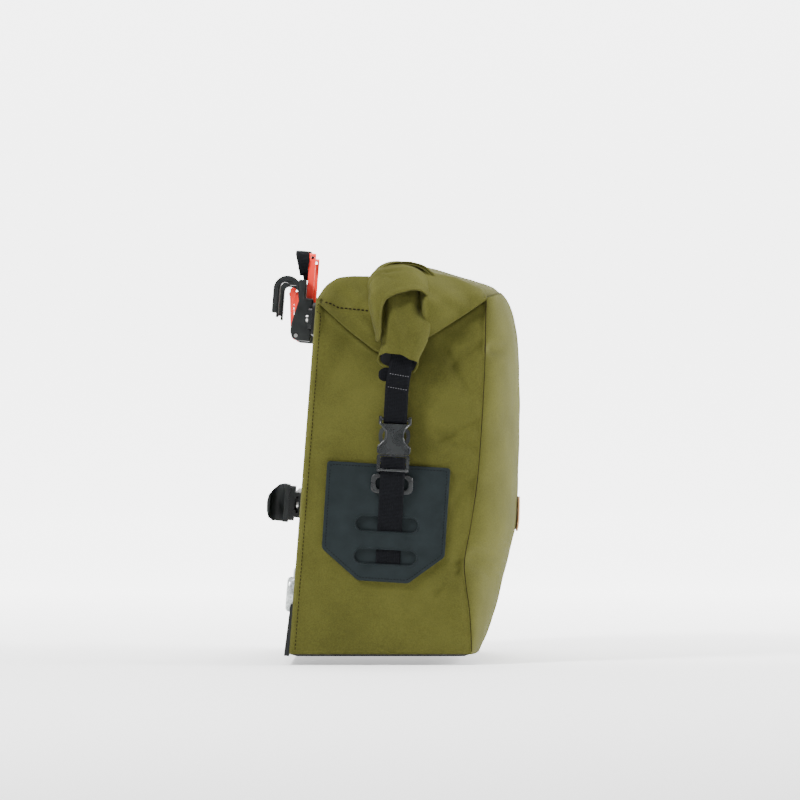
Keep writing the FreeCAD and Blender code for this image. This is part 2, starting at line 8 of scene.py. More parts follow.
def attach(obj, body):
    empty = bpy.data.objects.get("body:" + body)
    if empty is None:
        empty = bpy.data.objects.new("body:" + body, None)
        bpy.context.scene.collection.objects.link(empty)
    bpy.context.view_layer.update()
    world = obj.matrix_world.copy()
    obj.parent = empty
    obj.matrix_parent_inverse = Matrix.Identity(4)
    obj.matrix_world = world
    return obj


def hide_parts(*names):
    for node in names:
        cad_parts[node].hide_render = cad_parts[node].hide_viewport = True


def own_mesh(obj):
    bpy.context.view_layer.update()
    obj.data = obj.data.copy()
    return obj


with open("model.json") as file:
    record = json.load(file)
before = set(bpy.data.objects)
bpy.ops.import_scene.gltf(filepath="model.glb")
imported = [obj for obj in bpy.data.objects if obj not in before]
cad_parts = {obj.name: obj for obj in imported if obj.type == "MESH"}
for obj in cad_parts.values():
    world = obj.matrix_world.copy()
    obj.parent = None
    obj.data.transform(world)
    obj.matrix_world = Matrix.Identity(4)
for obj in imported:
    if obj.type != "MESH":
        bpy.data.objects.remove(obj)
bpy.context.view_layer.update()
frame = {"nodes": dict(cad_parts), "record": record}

LEAN = math.radians(4.4)        # the back leans this far towards the outer face
STRAP_LEAN = math.radians(3.0)
HALF = 150.0                    # half width, mm
RING = (8.0, 175.0)             # x and z of the strap ring, mm
HOOK_Y = 90.0                   # each hook and latch spring stands this far from mid width, mm
SPRING_START = (-22.3, 350.0)   # x and z of a latch spring's latch end, in the back's own frame
SPRING_LENGTH = 5.7
SPRING_RADIUS = 1.5
SPRING_WIRE = 0.35              # radius of the wire
SPRING_TURNS = 3


# ---- small helpers (points are in millimetres until a mesh is made) ----
def lerp(a, b, t):
    return a + (b - a) * t


def smooth(x):
    x = np.clip(x, 0.0, 1.0)
    return x * x * (3 - 2 * x)


def rough(x, y, z, scale, seed=0.0):
    return noise.noise(Vector((x / scale + seed, y / scale - seed, z / scale + 2 * seed)))


def back_x(z):
    return -97.0 + z * math.tan(LEAN)


def in_back(x, y, z):
    c, s = math.cos(LEAN), math.sin(LEAN)
    return (-97.0 + x * c + z * s, y, -x * s + z * c)


def on_side(x, y, z, side):
    c, s = math.cos(STRAP_LEAN), math.sin(STRAP_LEAN)
    return (RING[0] + x * c + z * s, side * (HALF + y), RING[1] - x * s + z * c)


def spline(points, count):
    """Catmull-Rom curve through the points, evenly spaced by length."""
    p = np.array(points, float)
    p = np.vstack([2 * p[0] - p[1], p, 2 * p[-1] - p[-2]])
    out = []
    for i in range(1, len(p) - 2):
        for t in np.linspace(0, 1, 24, endpoint=False):
            a, b, c, d = p[i - 1], p[i], p[i + 1], p[i + 2]
            out.append(0.5 * (2 * b + (c - a) * t + (2 * a - 5 * b + 4 * c - d) * t * t
                              + (3 * b - a - 3 * c + d) * t ** 3))
    out.append(p[-2])
    out = np.array(out)
    dist = np.concatenate([[0], np.cumsum(np.linalg.norm(np.diff(out, axis=0), axis=1))])
    want = np.linspace(0, dist[-1], count)
    return np.stack([np.interp(want, dist, out[:, k]) for k in range(out.shape[1])], axis=1)


def mesh_object(name, verts, faces, mat, uvs=None):
    mesh = bpy.data.meshes.new(name)
    mesh.from_pydata([tuple(float(c) / 1000 for c in v) for v in verts], [], faces)
    mesh.polygons.foreach_set("use_smooth", [True] * len(mesh.polygons))
    if uvs is not None:
        layer = mesh.uv_layers.new(name="UVMap")
        order = np.empty(len(mesh.loops), int)
        mesh.loops.foreach_get("vertex_index", order)
        layer.data.foreach_set("uv", np.asarray(uvs, float)[order].ravel())
    mesh.materials.append(mat)
    mesh.update()
    obj = bpy.data.objects.new(name, mesh)
    bpy.context.scene.collection.objects.link(obj)
    return obj


def grid_object(name, grid, mat, thick=0.0, wrap=False, flip=False):
    """A surface over an n by m array of points, with UVs in metres along its two directions."""
    grid = np.asarray(grid, float)
    n, m = grid.shape[:2]
    faces = []
    last = m if wrap else m - 1
    for i in range(n - 1):
        for j in range(last):
            k = (j + 1) % m
            quad = (i * m + j, i * m + k, (i + 1) * m + k, (i + 1) * m + j)
            faces.append(quad[::-1] if flip else quad)
    du = np.linalg.norm(np.diff(grid, axis=1), axis=2)
    dv = np.linalg.norm(np.diff(grid, axis=0), axis=2)
    u = np.concatenate([np.zeros((n, 1)), np.cumsum(du, axis=1)], axis=1)
    u -= u.mean(axis=1, keepdims=True)
    v = np.concatenate([np.zeros((1, m)), np.cumsum(dv, axis=0)], axis=0)
    uv = np.stack([u, v], axis=2).reshape(-1, 2) / 1000
    obj = mesh_object(name, grid.reshape(-1, 3), faces, mat, uv)
    if thick:
        solid = obj.modifiers.new("thickness", "SOLIDIFY")
        solid.thickness = thick / 1000
        solid.offset = 0.0
        solid.use_even_offset = False
    return obj


def ribbon(name, centre, across, width, thick, mat):
    """A flat strap: centre points, across directions and widths, with rounded long edges."""
    centre = np.asarray(centre, float)
    across = np.asarray(across, float)
    across = across / np.linalg.norm(across, axis=1, keepdims=True)
    along = np.gradient(centre, axis=0)
    up = np.cross(along, across)
    up /= np.linalg.norm(up, axis=1, keepdims=True)
    width = np.broadcast_to(width, len(centre))
    section = []
    for x in np.linspace(-0.5, 0.5, 11):
        section.append((x, 0.5 * min(1.0, 0.55 + 9 * (0.5 - abs(x)))))
    section += [(x, -y) for x, y in reversed(section)]
    rows = [[c + a * w * sx + n * thick * sy for sx, sy in section]
            for c, a, n, w in zip(centre, across, up, width)]
    body = grid_object(name, rows, mat, wrap=True)
    mesh = body.data
    m = len(section)
    uv = mesh.uv_layers[0].data
    runs = np.concatenate([[0], np.cumsum(np.linalg.norm(np.diff(centre, axis=0), axis=1))])
    for loop in mesh.loops:
        i, j = divmod(loop.vertex_index, m)
        uv[loop.index].uv = (section[j][0] * width[i] / 1000, runs[i] / 1000)
    return body


def stitches(name, points, mat, length=2.6, gap=1.3, radius=0.38):
    """A row of thread stitches that follows the points."""
    points = np.asarray(points, float)
    dist = np.concatenate([[0], np.cumsum(np.linalg.norm(np.diff(points, axis=0), axis=1))])
    verts, faces = [], []
    at = gap
    while at + length < dist[-1]:
        a = np.array([np.interp(at, dist, points[:, k]) for k in range(3)])
        b = np.array([np.interp(at + length, dist, points[:, k]) for k in range(3)])
        along = (b - a) / np.linalg.norm(b - a)
        side = np.cross(along, (0.31, 0.2, 0.93) if abs(along[2]) < 0.8 else (1, 0.1, 0.1))
        side /= np.linalg.norm(side)
        other = np.cross(along, side)
        base = len(verts)
        for share, size in ((0, 0.45), (0.2, 1), (0.8, 1), (1, 0.45)):
            for k in range(6):
                turn = math.pi * k / 3
                verts.append(a + (b - a) * share
                             + radius * size * (side * math.cos(turn) + other * math.sin(turn)))
        for ring in range(3):
            for k in range(6):
                j = (k + 1) % 6
                lo, hi = base + ring * 6, base + ring * 6 + 6
                faces.append((lo + k, lo + j, hi + j, hi + k))
        faces.append(tuple(base + k for k in range(6))[::-1])
        faces.append(tuple(base + 18 + k for k in range(6)))
        at += length + gap
    return mesh_object(name, verts, faces, mat)


def tube(name, points, radius, mat):
    """A round rod with eight sides along the points."""
    points = np.asarray(points, float)
    along = np.gradient(points, axis=0)
    along /= np.linalg.norm(along, axis=1, keepdims=True)
    rows = []
    for p, d in zip(points, along):
        side = np.cross(d, (0.3, 0.25, 0.92) if abs(d[2]) < 0.8 else (1, 0.1, 0.1))
        side /= np.linalg.norm(side)
        other = np.cross(d, side)
        rows.append([p + radius * (side * math.cos(k * math.pi / 4) + other * math.sin(k * math.pi / 4))
                     for k in range(8)])
    return grid_object(name, rows, mat, wrap=True)


# ---- materials -----------------------------------------------------------------
def material(name, color, roughness, **inputs):
    mat = bpy.data.materials.new(name)
    mat.use_nodes = True
    tree = mat.node_tree
    shader = tree.nodes["Principled BSDF"]
    shader.inputs["Base Color"].default_value = (*color, 1)
    shader.inputs["Roughness"].default_value = roughness
    for key, value in inputs.items():
        shader.inputs[key.replace("_", " ")].default_value = value
    return mat, tree, shader


def node(tree, kind, **values):
    made = tree.nodes.new(kind)
    for key, value in values.items():
        if key in made.inputs:
            made.inputs[key].default_value = value
        else:
            setattr(made, key, value)
    return made


def tint(tree, factor, low, high, shader, stops=(0.3, 0.7)):
    """Base colour between two shades, by a factor."""
    ramp = tree.nodes.new("ShaderNodeValToRGB")
    ramp.color_ramp.elements[0].position = stops[0]
    ramp.color_ramp.elements[1].position = stops[1]
    ramp.color_ramp.elements[0].color = (*low, 1)
    ramp.color_ramp.elements[1].color = (*high, 1)
    tree.links.new(factor, ramp.inputs["Fac"])
    tree.links.new(ramp.outputs["Color"], shader.inputs["Base Color"])


def bump(tree, shader, heights):
    """Stacks bump nodes: (height output, strength, distance in metres)."""
    before = None
    for height, strength, distance in heights:
        made = node(tree, "ShaderNodeBump", Strength=strength, Distance=distance)
        tree.links.new(height, made.inputs["Height"])
        if before is not None:
            tree.links.new(before.outputs["Normal"], made.inputs["Normal"])
        before = made
    tree.links.new(before.outputs["Normal"], shader.inputs["Normal"])


def weave(tree, period):
    """Height of a plain weave over the UV map, whose unit is a metre."""
    place = tree.nodes.new("ShaderNodeUVMap")
    bands = []
    for direction in ("X", "Y"):
        wave = node(tree, "ShaderNodeTexWave", bands_direction=direction, Scale=0.31416 / period)
        wave.inputs["Distortion"].default_value = 0.6
        wave.inputs["Detail Scale"].default_value = 2.0
        tree.links.new(place.outputs["UV"], wave.inputs["Vector"])
        bands.append(wave.outputs["Fac"])
    both = node(tree, "ShaderNodeMath", operation="MULTIPLY")
    tree.links.new(bands[0], both.inputs[0])
    tree.links.new(bands[1], both.inputs[1])
    return both.outputs["Value"]


def canvas(name, low, high, roughness=0.9, period=0.0011, sheen=0.015):
    mat, tree, shader = material(name, low, roughness)
    shader.inputs["Sheen Weight"].default_value = sheen
    shader.inputs["Sheen Roughness"].default_value = 0.6
    shader.inputs["Specular IOR Level"].default_value = 0.1
    coords = tree.nodes.new("ShaderNodeTexCoord")
    cloud = node(tree, "ShaderNodeTexNoise", Scale=16.0, Detail=3.0)
    speck = node(tree, "ShaderNodeTexNoise", Scale=900.0, Detail=1.0)
    for made in (cloud, speck):
        tree.links.new(coords.outputs["Object"], made.inputs["Vector"])
    blend = node(tree, "ShaderNodeMix", data_type="FLOAT")
    blend.inputs[0].default_value = 0.45
    tree.links.new(cloud.outputs["Fac"], blend.inputs[2])
    tree.links.new(speck.outputs["Fac"], blend.inputs[3])
    tint(tree, blend.outputs[0], low, high, shader)
    cloth = weave(tree, period)
    bump(tree, shader, [(cloud.outputs["Fac"], 0.25, 0.004), (speck.outputs["Fac"], 0.35, 0.0004),
                        (cloth, 0.55, 0.0003)])
    return mat


def webbing_material():
    mat, tree, shader = material("webbing", (0.003, 0.0032, 0.004), 0.75)
    shader.inputs["Specular IOR Level"].default_value = 0.06
    place = tree.nodes.new("ShaderNodeUVMap")
    ribs = node(tree, "ShaderNodeTexWave", bands_direction="Y", Scale=0.31416 / 0.0014, Distortion=0.4)
    cords = node(tree, "ShaderNodeTexWave", bands_direction="X", Scale=0.31416 / 0.0023)
    for made in (ribs, cords):
        tree.links.new(place.outputs["UV"], made.inputs["Vector"])
    tint(tree, ribs.outputs["Fac"], (0.0018, 0.002, 0.0027), (0.0062, 0.0068, 0.0085), shader, (0.1, 0.9))
    bump(tree, shader, [(ribs.outputs["Fac"], 0.7, 0.0004), (cords.outputs["Fac"], 0.4, 0.0003)])
    return mat


def moulded(name, low, high, roughness, grain=1400.0, strength=0.18, specular=0.5):
    mat, tree, shader = material(name, low, roughness)
    shader.inputs["Specular IOR Level"].default_value = specular
    coords = tree.nodes.new("ShaderNodeTexCoord")
    fine = node(tree, "ShaderNodeTexNoise", Scale=grain, Detail=2.0)
    wide = node(tree, "ShaderNodeTexNoise", Scale=60.0, Detail=4.0)
    for made in (fine, wide):
        tree.links.new(coords.outputs["Object"], made.inputs["Vector"])
    tint(tree, wide.outputs["Fac"], low, high, shader)
    scuffs = node(tree, "ShaderNodeMapRange")
    scuffs.inputs["From Min"].default_value = 0.35
    scuffs.inputs["From Max"].default_value = 0.7
    scuffs.inputs["To Min"].default_value = roughness - 0.08
    scuffs.inputs["To Max"].default_value = roughness + 0.1
    tree.links.new(wide.outputs["Fac"], scuffs.inputs["Value"])
    tree.links.new(scuffs.outputs["Result"], shader.inputs["Roughness"])
    bump(tree, shader, [(fine.outputs["Fac"], strength, 0.0002)])
    return mat


OLIVE = canvas("olive_canvas", (0.044, 0.0435, 0.0078), (0.077, 0.076, 0.0158))
# dark base cloth; the same material also paints the shade inside the roll's sleeves
BASE_CLOTH_AND_SHADE = canvas("base_canvas", (0.012, 0.012, 0.014), (0.022, 0.022, 0.024), 0.8, 0.0014, 0.0)
WEB = webbing_material()
PATCH = moulded("patch_rubber", (0.0075, 0.0115, 0.0125), (0.0115, 0.016, 0.0175), 0.6, 700.0, 0.3, 0.1)
BUCKLE = moulded("buckle_plastic", (0.006, 0.0075, 0.008), (0.010, 0.012, 0.0125), 0.28, 1100.0, 0.06, 0.5)
HOOK = moulded("hook_plastic", (0.008, 0.0095, 0.0095), (0.014, 0.016, 0.016), 0.42, specular=0.25)
RAIL = moulded("rail_plastic", (0.006, 0.007, 0.007), (0.011, 0.012, 0.012), 0.5, specular=0.2)
RED = moulded("red_plastic", (0.78, 0.022, 0.012), (0.9, 0.035, 0.02), 0.36, specular=0.4)
SHEET = moulded("stiffener_sheet", (0.2, 0.2, 0.2), (0.3, 0.3, 0.3), 0.5)
STEEL = material("steel", (0.5, 0.5, 0.49), 0.32, Metallic=1.0)[0]
# brown thread of the stitching; the same colour paints the shade line along the front seams
DARK_THREAD_AND_SEAM_SHADE = moulded("brown_thread_and_seam_shade", (0.006, 0.004, 0.0025), (0.010, 0.006, 0.004), 0.85, specular=0.03)
THREAD_GREY = material("thread_grey", (0.11, 0.11, 0.12), 0.8)[0]
THREAD_BLACK = moulded("thread_black", (0.003, 0.003, 0.004), (0.005, 0.005, 0.006), 0.8, specular=0.05)


def reflector_material():
    mat, tree, shader = material("reflector", (0.56, 0.58, 0.57), 0.28, Metallic=0.35)
    coords = tree.nodes.new("ShaderNodeTexCoord")
    cells = node(tree, "ShaderNodeTexVoronoi", Scale=420.0)
    tree.links.new(coords.outputs["Object"], cells.inputs["Vector"])
    tint(tree, cells.outputs["Distance"], (0.2, 0.22, 0.22), (0.5, 0.53, 0.52), shader, (0.1, 0.7))
    bump(tree, shader, [(cells.outputs["Distance"], 0.4, 0.0004)])
    return mat


def leather_material():
    mat, tree, shader = material("label_leather", (0.5, 0.33, 0.16), 0.55)
    coords = tree.nodes.new("ShaderNodeTexCoord")
    grain = node(tree, "ShaderNodeTexVoronoi", Scale=900.0)
    cloud = node(tree, "ShaderNodeTexNoise", Scale=40.0, Detail=5.0)
    for made in (grain, cloud):
        tree.links.new(coords.outputs["Object"], made.inputs["Vector"])
    tint(tree, cloud.outputs["Fac"], (0.27, 0.14, 0.055), (0.40, 0.23, 0.10), shader)
    bump(tree, shader, [(grain.outputs["Distance"], 0.35, 0.0003)])
    return mat


REFLECT = reflector_material()
LEATHER = leather_material()

SLOT_MATERIALS = {"hook_plastic": HOOK, "buckle_plastic": BUCKLE, "red_plastic": RED,
                  "rail_plastic": RAIL, "stiffener_plastic": SHEET, "steel": STEEL,
                  "reflector": REFLECT}
node_slots = {s["node"]: s["material_slot"] for s in frame["record"]["subparts"]}
for name, obj in frame["nodes"].items():
    paint = SLOT_MATERIALS.get(node_slots[name])
    if paint is not None:
        obj.data.materials.clear()
        obj.data.materials.append(paint)


def finish_piece(obj, slot, body="bag", *hides):
    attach(obj, body)
    if hides:
        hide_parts(*hides)
    return obj


# ---- bag shell -------------------------------------------------------------------
SEAM_Z = [2, 8, 46, 76, 99, 138, 190, 283, 366]
SEAM_X = [88, 90, 88, 84, 83, 90, 97, 103, 105]
BULGE_Z = [0.6, 8, 20, 51, 78, 104, 130, 157, 209, 268, 317, 343, 363, 374, 379]
BULGE_X = [98.5, 102, 108, 118.5, 125, 132, 138.6, 139.8, 140.7, 141.7, 140.7, 137.5, 131, 121.7, 114]
SEAM_CURVE = spline(list(zip(SEAM_Z, SEAM_X)), 240)
BULGE_CURVE = spline(list(zip(BULGE_Z, BULGE_X)), 240)
FOLD = [(-65, 359), (-40, 337), (-14.5, 316.5), (4, 306), (26, 313), (48, 328.3), (75, 344), (103, 363.5)]


def seam_x(z):
    return np.interp(z, SEAM_CURVE[:, 0], SEAM_CURVE[:, 1])


def bulge_x(z):
    return np.interp(z, BULGE_CURVE[:, 0], BULGE_CURVE[:, 1])


def fold_z(x):
    return np.interp(x, [p[0] for p in FOLD], [p[1] for p in FOLD])


def crease(x, z, a, b, width, depth):
    """Depth of a soft furrow along the line from a to b, fading at its ends."""
    ax, az = a
    run, rise = b[0] - ax, b[1] - az
    size = math.hypot(run, rise)
    t = ((x - ax) * run + (z - az) * rise) / size ** 2
    off = ((x - ax) * rise - (z - az) * run) / size
    fade = smooth((t + 0.25) / 0.35) * smooth((1.25 - t) / 0.5)
    return depth * fade * math.exp(-(off / width) ** 2)


# from (x, z), to (x, z), width and depth
SIDE_CREASES = [((78, 96), (44, 84), 4.5, 3.6), ((78, 88), (52, 62), 4, 3.2),
                ((76, 104), (58, 112), 4, 2.0), ((100, 318), (70, 296), 6, 3.4),
                ((62, 318), (90, 268), 8, 3.6), ((-30, 330), (-60, 280), 12, 2.6),
                ((93, 238), (52, 214), 6, 3.4), ((91, 212), (52, 228), 7, 2.8),
                ((92, 180), (66, 150), 8, 2.4), ((20, 60), (70, 40), 9, 2.2),
                ((-70, 60), (-30, 36), 9, 2.0)]
# z at the seam, z at mid width, width and depth
FRONT_CREASES = [(104, 104, 8, 6.5), (96, 66, 6, 4.0), (312, 320, 7, 5.0), (318, 296, 8, 3.0),
                 (180, 196, 14, 2.6), (240, 226, 12, 2.4)]


def side_point(x, z, side):
    """Outward distance of the side face from mid width."""
    under = z - (fold_z(x) - 3)
    tuck = 13 * float(smooth(under / 15)) + 3.5 * float(smooth((under + 34) / 34))
    dips = sum(crease(x, z, *c) for c in SIDE_CREASES)
    soft = 0.9 * rough(x, side * 90, z, 55, 3.1) + 0.35 * rough(x, side * 40, z, 18, 7.7)
    near_patch = float(smooth((abs(x - 3) - 60) / 16) + smooth((z - 200) / 20) + smooth((78 - z) / 16))
    calm = min(1.0, near_patch)
    return HALF - tuck - (dips + 0.9 + soft) * calm - 0.1


def shell_ring(v):
    """One horizontal ring of the shell: left side, front, right side and back."""
    ring = []
    radius = 5.0
    for side in (-1, 1):
        run = []
        z = 2.5 + v * (366 - 2.5)
        x0, x1 = back_x(z), float(seam_x(z))
        for k in range(6):
            turn = math.pi / 2 * (1 - k / 6)
            y = HALF - 0.9 - radius * (1 - math.cos(turn))
            run.append((x0 + radius * (1 - math.sin(turn)), side * y, z))
        for k in range(1, 71):
            x = lerp(x0 + radius, x1 - 1.5, k / 70)
            inner = side_point(x, z, side)
            edge = 2.0 * float(smooth((x - (x1 - 9)) / 9))
            run.append((x, side * (inner - edge), z))
        if side < 0:
            ring += run
            for k in range(0, 61):
                phi = -math.pi / 2 + math.pi * k / 60
                top = 366 + 8 * math.cos(phi)
                zz = 2.5 + v * (top - 2.5)
                sx = float(seam_x(min(zz, 366)))
                share = math.cos(phi) ** 1.15
                out = sx - 1.0 + (float(bulge_x(zz)) - sx + 1.0) * share
                y = (HALF - 2.2) * math.sin(phi)
                wave = 1.6 * rough(out, y, zz, 70, 5.2) + 0.6 * rough(out, y, zz, 24, 1.3)
                fold = 0.0
                for z_seam, z_mid, wide, deep in FRONT_CREASES:
                    line = lerp(z_mid, z_seam, abs(math.sin(phi)) ** 2)
                    fold += deep * abs(math.sin(phi)) ** 3 * math.exp(-((zz - line) / wide) ** 2)
                damp = math.cos(phi) ** 0.4 if k not in (0, 60) else 0.0
                fold *= min(1.0, 3 * math.cos(phi))
                ring.append((out + (wave - 0.4) * damp - fold, y, zz))
        else:
            ring += run[::-1]
    z = 2.5 + v * (366 - 2.5)
    for k in range(1, 40):
        y = lerp(HALF - 6.5, -(HALF - 6.5), k / 40)
        ring.append((back_x(z) + 0.15, y, z))
    return ring


rows = [shell_ring(v) for v in np.linspace(0, 1, 170)]
shell = grid_object("bag_shell", rows, OLIVE, thick=1.2, wrap=True)
finish_piece(shell, "shell_fabric", "bag",
             "side_panel_left", "side_panel_right", "front_panel", "back_panel")


def base_grid():
    grid = []
    for i in range(30):
        t = i / 29
        row = []
        for j in range(61):
            y = lerp(-147.5, 147.5, j / 60)
            front = float(lerp(88, 92, math.cos(math.pi / 2 * y / 148)))
            x = lerp(-95.5, front, t)
            lip = 2.2 * (smooth((0.04 - min(t, 1 - t)) / 0.04) + smooth((abs(y) - 144) / 3.5))
            row.append((x, y, 0.8 + float(min(lip, 2.2))))
        grid.append(row)
    return grid


base = grid_object("base_fabric_panel", base_grid(), BASE_CLOTH_AND_SHADE, thick=1.4)
finish_piece(base, "base_fabric", "bag", "base_panel")


# ---- top covers, which fold down over both ends ------------------------------------
def cover(name, ridge_mid, ridge_end, edge, seed, swell):
    """ridge runs from the panel's top edge to the roll; edge is the fold that hangs over the ends."""
    count = 60
    mid = spline(ridge_mid, count)
    end = spline(ridge_end, count)
    low = spline(edge, count)
    grid = []
    for i in range(count):
        row = []
        for side in (-1, 1):
            part = []
            for j in range(0, 7):
                share = j / 6
                hem = low[i] + np.array([0.0, 5.5 * math.sin(share * math.pi / 2)])
                part.append((hem[0], side * (151.2 - 13 * (1 - math.cos(share * math.pi / 2)) - 1), hem[1]))
            part = part[::-1]
            for j in range(0, 37):
                r = 1 - j / 36
                x = lerp(end[i][0], low[i][0], r ** 1.2)
                z = lerp(end[i][1], low[i][1], r ** 1.2)
                y = 132 + 20 * math.sin(math.pi / 2 * r) ** 0.8
                full = swell * float(smooth((96 - x) / 46) * smooth((x - 33) / 12))
                y += full * math.sin(math.pi * r ** 1.3) ** 1.2
                dent = 2.4 * rough(x, side * y, z, 30, seed) + 1.1 * rough(x, side * y, z, 12, seed + 2)
                phase = 0.33 * (x * 0.62 + z * 0.78) + 2 * rough(x, side * y, z, 40, seed + 5)
                pleat = 1.1 * math.sin(phase)
                sag = 2.6 * math.sin(math.pi * r) * math.sin(math.pi * min(1, i / count * 1.3))
                shape = math.sin(math.pi * r)
                part.append((x, side * (y + (dent + pleat) * shape - sag), z - 0.5 * dent * (1 - r)))
            if side < 0:
                row += part
                for j in range(1, 60):
                    s = -132 + 264 * j / 60
                    bow = math.cos(math.pi / 2 * s / 132) ** 0.8
                    p = end[i] + (mid[i] - end[i]) * bow
                    dent = 1.5 * rough(p[0], s, p[1], 34, seed) + 0.7 * rough(p[0], s, p[1], 13, seed)
                    row.append((p[0], s, p[1] + dent * float(smooth(i / 6)) * 0.9))
            else:
                row += part[::-1]
        grid.append(row)
    return grid_object(name, grid, OLIVE, thick=1.4), np.array(grid)


cover_back, back_grid = cover(
    "cover_back",
    [(-68.5, 366), (-60, 378), (-50, 385), (-38, 388), (-20, 388), (2, 384)],
    [(-68.5, 365), (-60, 377), (-50, 384.5), (-40, 387.5), (-18, 388), (2, 386)],
    [(-66, 360.5), (-52, 348), (-36, 333.5), (-20, 321), (-8, 312), (6, 305)], 4.0, 0.0)
finish_piece(cover_back, "shell_fabric", "bag", "collar_back", "gusset_left")
cover_front = cover(
    "cover_front",
    [(121.5, 373.8), (112, 380), (92, 387), (70, 393), (48, 399), (26, 405.2), (6, 406)],
    [(105, 366), (101, 374), (92, 378.6), (75, 385.5), (56.8, 390.5), (34, 396.5), (12, 398.5)],
    [(104, 364.5), (91, 355.5), (76, 345.5), (62, 336.5), (50, 329), (36, 321), (26, 315)], 9.0, 19.0)[0]
finish_piece(cover_front, "shell_fabric", "bag", "collar_front", "gusset_right")


def on_cover(grid, x, z, side):
    """The point of a cover's end flap that lies in front of (x, z)."""
    flat = grid.reshape(-1, 3)
    flat = flat[flat[:, 1] * side > 134]
    miss = (flat[:, 0] - x) ** 2 + (flat[:, 2] - z) ** 2
    near = flat[np.argsort(miss)[:4]]
    return (x, side * (np.abs(near[:, 1]).mean() + 1.0), z)


TOP_SEAM = [(-69, 352), (-67.3, 359.5), (-62.7, 362.5), (-54, 360.2), (-47.2, 356.6), (-35.7, 355.2),
            (-24, 354), (-13, 352.6)]
for side, tag in ((-1, "left"), (1, "right")):
    points = [on_cover(back_grid, x, z, side) for x, z in spline(TOP_SEAM[2:], 40)]
    row = stitches(f"top_seam_{tag}", points, DARK_THREAD_AND_SEAM_SHADE, length=3.0, radius=0.65)
    finish_piece(row, "webbing", "bag")

# ---- roll ------------------------------------------------------------------------
def roll_grid():
    grid = []
    for i in range(64):
        y = lerp(-139, 139, i / 63)
        row = []
        for j in range(150):
            turn = math.radians(250) - 2.25 * 2 * math.pi * j / 149
            shrink = 1 - 0.085 * (j / 149 * 2.25)
            a, b = 35 * shrink, 30.5 * shrink
            c, s = math.cos(turn), math.sin(turn)
            x = 22 + a * abs(c) ** 0.92 * np.sign(c)
            z = 374 + b * abs(s) ** 0.92 * np.sign(s)
            if j < 90:
                d = 1.5 * rough(x, y, z, 40, 2.4) + 0.6 * rough(x, y * 0.4, z, 12, 6.4)
                x += d * c
                z += d * s
            row.append((x, y, z))
        grid.append(row)
    return grid


roll = grid_object("roll_cloth", roll_grid(), OLIVE, thick=1.5)
finish_piece(roll, "shell_fabric", "bag", "roll")

PATH_Q = [0.0, 0.25, 0.45, 0.65, 0.75, 0.85, 1.0]
PATH_X = [21, 20, 19, 19.6, 20.5, 20.2, 14.9]
PATH_Y = [118, 138, 150, 157, 159.5, 160.5, 161]
PATH_Z = [373, 370, 358, 340, 330, 320, 303]
PATH_A = [34, 34.5, 33.3, 29.8, 27, 24, 23]
PATH_B = [29.5, 26.5, 21, 14, 12, 10.5, 10]
PATH_T = [0, 20, 50, 76, 83, 88, 90]


def mouth(turn):
    """How far down its path the sleeve reaches on each side."""
    return float(np.interp(math.degrees(turn), [0, 45, 90, 135, 180, 225, 270, 315, 360],
                           [1.10, 1.03, 0.955, 0.94, 0.97, 1.17, 1.26, 1.30, 1.10]))


def sleeve_point(q, turn, side, grow, inner=False):
    q1 = min(q, 1.0)
    cx, cy, cz, a, b, tilt = [float(np.interp(q1, PATH_Q, track))
                              for track in (PATH_X, PATH_Y, PATH_Z, PATH_A, PATH_B, PATH_T)]
    tilt = math.radians(tilt)
    c, s = math.cos(turn), math.sin(turn)
    full = lerp(1.0, 0.82, float(smooth(q / 0.5)))
    x = (a + grow) * abs(c) ** full * np.sign(c)
    n = (b + grow) * abs(s) ** full * np.sign(s)
    if not inner:
        ripple = 0.9 * math.sin(3 * turn + 5 * q + side) + 2.4 * rough(x, 60 * q, n, 22, 3 + side)
        ripple += 0.9 * rough(x, 60 * q, n, 9, 5 + side)
        x += ripple * c * smooth(q / 0.3)
        n += ripple * s * smooth(q / 0.3)
    extra = (q - q1) * 45
    y = cy + math.sin(tilt) * n + math.cos(tilt) * extra
    z = cz + math.cos(tilt) * n - math.sin(tilt) * extra
    return (cx + x, side * y, float(z))


def hollow_at(q, turn):
    """How far the sleeve's top falls back under the arch, most of all towards the outer face."""
    front = 1 - float(smooth((math.degrees(turn) - 35) / 40))
    deep = (4 + 8 * front) * float(smooth((0.68 - q) / 0.22))
    return deep * max(0.0, math.sin(min(turn + 0.35, math.pi))) ** 0.5


TURNS = [2 * math.pi * j / 120 for j in range(120)]


def sleeve(side, tag):
    """Tube of cloth at the roll's end, down to its mouth and a little way back up inside."""
    grid = []
    for i in range(80):
        row = []
        for turn in TURNS:
            q = lerp(0.2, mouth(turn), i / 79)
            wedge = 5.0 * math.exp(-((math.degrees(turn) - 134) / 13) ** 2)
            wedge *= float(smooth((0.8 - q) / 0.2))
            row.append(sleeve_point(q, turn, side, -1.5 - hollow_at(q, turn) - wedge))
        grid.append(row)
    for i in range(4):
        grow = -3.2 if i else -2.4
        grid.append([sleeve_point(mouth(turn) - 0.02 * i, turn, side, grow) for turn in TURNS])
    made = grid_object(f"roll_end_sleeve_{tag}", grid, OLIVE, wrap=True)
    finish_piece(made, "shell_fabric", "bag", f"roll_end_{tag}")


